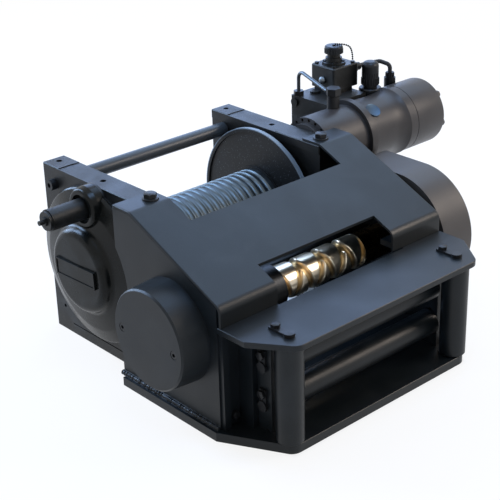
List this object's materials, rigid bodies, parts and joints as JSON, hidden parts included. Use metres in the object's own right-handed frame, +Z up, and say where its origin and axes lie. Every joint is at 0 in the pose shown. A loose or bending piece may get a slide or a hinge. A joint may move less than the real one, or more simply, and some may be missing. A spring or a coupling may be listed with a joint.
{
  "type": "hydraulic winch",
  "caption": "Hydraulic rope winch with grooved drum, level wind on a reversing screw under a folded cover, and a roller fairlead at the front",
  "frame": {"origin": "on the ground plane, straight below the middle of the drum, at the centre of the four foot holes", "axes": "+X along the drum shaft towards the hydraulic motor, +Y to the rear, +Z up; the rope leaves to -Y"},
  "size_m": [0.849, 0.6076, 0.4169],
  "materials": {
    "frame_paint": "satin",
    "casting_paint": "satin",
    "screw_chrome": "polished",
    "bare_steel": "machined",
    "fastener_black": "satin",
    "cable_rubber": "matte",
    "cap_black": "anodised"
  },
  "bodies": {
    "frame": {"left_bracket": "casting_paint", "right_bracket": "casting_paint", "gear_cover_plate": "frame_paint", "tie_rod": "frame_paint", "tie_rod_bolts": "fastener_black", "gear_case_cover": "casting_paint", "clutch_cylinder": "casting_paint", "drum_bearings": "bare_steel", "ring_gear": "bare_steel", "chain": "bare_steel", "chain_case": "frame_paint", "level_wind_cover": "frame_paint", "cover_bolts": "fastener_black", "left_side_plate": "frame_paint", "right_side_plate": "frame_paint", "base_plate": "frame_paint", "fairlead_top_plate": "frame_paint", "left_cheek": "frame_paint", "right_cheek": "frame_paint", "roller_brackets": "frame_paint", "roller_pins": "fastener_black", "keeper_bars": "fastener_black", "fairlead_bolts": "fastener_black", "left_round_cover": "frame_paint", "case_screws": "fastener_black", "shaft_sleeves": "frame_paint", "guide_rod": "bare_steel", "brake_housing": "casting_paint", "motor_body": "casting_paint", "manifold_block": "casting_paint", "line_fittings": "fastener_black", "brake_line": "bare_steel", "control_box": "frame_paint", "dust_cap": "cap_black", "cap_chain": "bare_steel", "round_cap": "cap_black", "connector": "cap_black", "cable": "cable_rubber"},
    "drum_body": {"drum": "frame_paint", "drum_gear": "frame_paint", "planet_carrier": "frame_paint"},
    "inner_shaft": {"sun_shaft": "bare_steel", "bull_gear": "bare_steel"},
    "input_pinion": {"motor_pinion": "bare_steel"},
    "planet_body_1": {"planet_1": "bare_steel"},
    "planet_body_2": {"planet_2": "bare_steel"},
    "planet_body_3": {"planet_3": "bare_steel"},
    "lay_body": {"lay_shaft": "bare_steel", "lay_sprocket": "bare_steel"},
    "screw_body": {"diamond_screw": "screw_chrome", "screw_sprocket": "bare_steel"},
    "traveller_body": {"traveller": "bare_steel", "follower_pawl": "bare_steel"},
    "left_guide_body": {"left_guide_roller": "fastener_black"},
    "right_guide_body": {"right_guide_roller": "fastener_black"},
    "left_roller_body": {"left_vertical_roller": "frame_paint"},
    "right_roller_body": {"right_vertical_roller": "frame_paint"},
    "upper_roller_body": {"upper_roller": "frame_paint"},
    "lower_roller_body": {"lower_roller": "frame_paint"},
    "clutch_body": {"clutch_rod": "bare_steel"}
  },
  "joints": [
    {"name": "drum_spin", "type": "hinge", "parent": "frame", "child": "drum_body", "pos_m": [0, 0, 0.166], "axis": [1, 0, 0], "continuous": true},
    {"name": "inner_shaft_spin", "type": "hinge", "parent": "frame", "child": "inner_shaft", "pos_m": [0, 0, 0.166], "axis": [1, 0, 0], "continuous": true},
    {"name": "input_pinion_spin", "type": "hinge", "parent": "frame", "child": "input_pinion", "pos_m": [0.187, -0.06295, 0.26992], "axis": [1, 0, 0], "continuous": true},
    {"name": "planet_1_spin", "type": "hinge", "parent": "drum_body", "child": "planet_body_1", "pos_m": [-0.224, 0.0495, 0.166], "axis": [1, 0, 0], "continuous": true},
    {"name": "planet_2_spin", "type": "hinge", "parent": "drum_body", "child": "planet_body_2", "pos_m": [-0.224, -0.02475, 0.20887], "axis": [1, 0, 0], "continuous": true},
    {"name": "planet_3_spin", "type": "hinge", "parent": "drum_body", "child": "planet_body_3", "pos_m": [-0.224, -0.02475, 0.12313], "axis": [1, 0, 0], "continuous": true},
    {"name": "lay_shaft_spin", "type": "hinge", "parent": "frame", "child": "lay_body", "pos_m": [0.2, -0.08485, 0.08115], "axis": [1, 0, 0], "continuous": true},
    {"name": "screw_spin", "type": "hinge", "parent": "frame", "child": "screw_body", "pos_m": [0, -0.2394, 0.149], "axis": [1, 0, 0], "continuous": true},
    {"name": "traveller_slide", "type": "slide", "parent": "frame", "child": "traveller_body", "axis": [1, 0, 0], "range_m": [-0.02, 0.19]},
    {"name": "left_guide_spin", "type": "hinge", "parent": "traveller_body", "child": "left_guide_body", "pos_m": [-0.107, -0.2394, 0.07], "axis": [0, 0, 1], "continuous": true},
    {"name": "right_guide_spin", "type": "hinge", "parent": "traveller_body", "child": "right_guide_body", "pos_m": [-0.063, -0.2394, 0.07], "axis": [0, 0, 1], "continuous": true},
    {"name": "left_roller_spin", "type": "hinge", "parent": "frame", "child": "left_roller_body", "pos_m": [-0.187, -0.433, 0.098], "axis": [0, 0, 1], "continuous": true},
    {"name": "right_roller_spin", "type": "hinge", "parent": "frame", "child": "right_roller_body", "pos_m": [0.187, -0.433, 0.098], "axis": [0, 0, 1], "continuous": true},
    {"name": "upper_roller_spin", "type": "hinge", "parent": "frame", "child": "upper_roller_body", "pos_m": [0, -0.386, 0.124], "axis": [1, 0, 0], "continuous": true},
    {"name": "lower_roller_spin", "type": "hinge", "parent": "frame", "child": "lower_roller_body", "pos_m": [0, -0.386, 0.057], "axis": [1, 0, 0], "continuous": true},
    {"name": "clutch_stroke", "type": "slide", "parent": "frame", "child": "clutch_body", "axis": [-1, 0, 0], "range_m": [0, 0.012]}
  ],
  "couplings": [
    {"joint": "inner_shaft_spin", "follows": "drum_spin", "ratio": 3.6667},
    {"joint": "input_pinion_spin", "follows": "drum_spin", "ratio": -13.804},
    {"joint": "planet_1_spin", "follows": "drum_spin", "ratio": -3.2},
    {"joint": "planet_2_spin", "follows": "drum_spin", "ratio": -3.2},
    {"joint": "planet_3_spin", "follows": "drum_spin", "ratio": -3.2},
    {"joint": "lay_shaft_spin", "follows": "drum_spin", "ratio": -0.71429},
    {"joint": "screw_spin", "follows": "drum_spin", "ratio": -0.29503}
  ]
}
